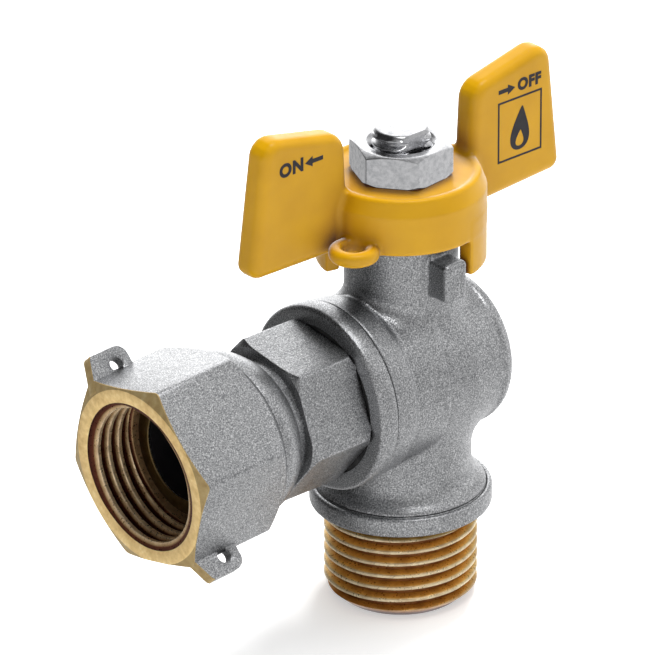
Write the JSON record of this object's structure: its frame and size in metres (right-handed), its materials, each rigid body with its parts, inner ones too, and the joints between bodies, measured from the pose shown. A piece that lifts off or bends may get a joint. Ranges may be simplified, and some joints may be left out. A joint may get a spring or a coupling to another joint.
{
  "type": "angle gas ball valve",
  "caption": "Angle ball valve for gas: swivel union nut inlet with seal ears, male thread outlet, quarter-turn butterfly handle with stop tabs and seal eye.",
  "frame": {"origin": "centre of the outlet thread's free end", "axes": "+Z along the outlet and the stem, up to the handle; the inlet with its union nut runs along -X; the stop peg points along -Y"},
  "size_m": [0.0736, 0.0274, 0.0747],
  "materials": {
    "valve_body": "shot-blasted nickel plate, raw brass thread",
    "tailpiece": "shot-blasted nickel plate",
    "body_seal": "matt thread sealant",
    "seat": "PTFE",
    "elastomer": "matt",
    "ball": "polished chrome plate on brass",
    "stem": "nickel plate",
    "handle": "glossy yellow paint on die-cast aluminium",
    "handle_nut": "bright zinc plate",
    "union_nut": "shot-blasted nickel plate, machined raw brass front and thread",
    "retaining_ring": "spring steel wire"
  },
  "bodies": {
    "housing": {"valve_body": "valve_body", "tailpiece": "tailpiece", "body_seal": "body_seal", "inlet_seat": "seat", "rear_seat": "seat", "inlet_seat_backing": "elastomer", "rear_seat_backing": "elastomer"},
    "handle_and_ball": {"handle": "handle", "handle_nut": "handle_nut", "stem": "stem", "ball": "ball", "stem_thrust_washer": "seat", "stem_o_ring_lower": "elastomer", "stem_o_ring_upper": "elastomer"},
    "union_ring": {"union_retaining_ring": "retaining_ring"},
    "union_nut": {"union_nut": "union_nut"}
  },
  "joints": [
    {"name": "handle_turn", "type": "hinge", "parent": "housing", "child": "handle_and_ball", "pos_m": [0, 0, 0.0336], "axis": [0, 0, 1], "range_deg": [0, 90]},
    {"name": "union_swivel_play", "type": "hinge", "parent": "housing", "child": "union_ring", "pos_m": [-0.0283, 0, 0.0336], "axis": [0, 1, 0], "range_deg": [0, 3.35]},
    {"name": "union_nut_spin", "type": "hinge", "parent": "union_ring", "child": "union_nut", "pos_m": [-0.0283, 0, 0.0336], "axis": [-0.9983, 0, -0.0584], "continuous": true}
  ]
}
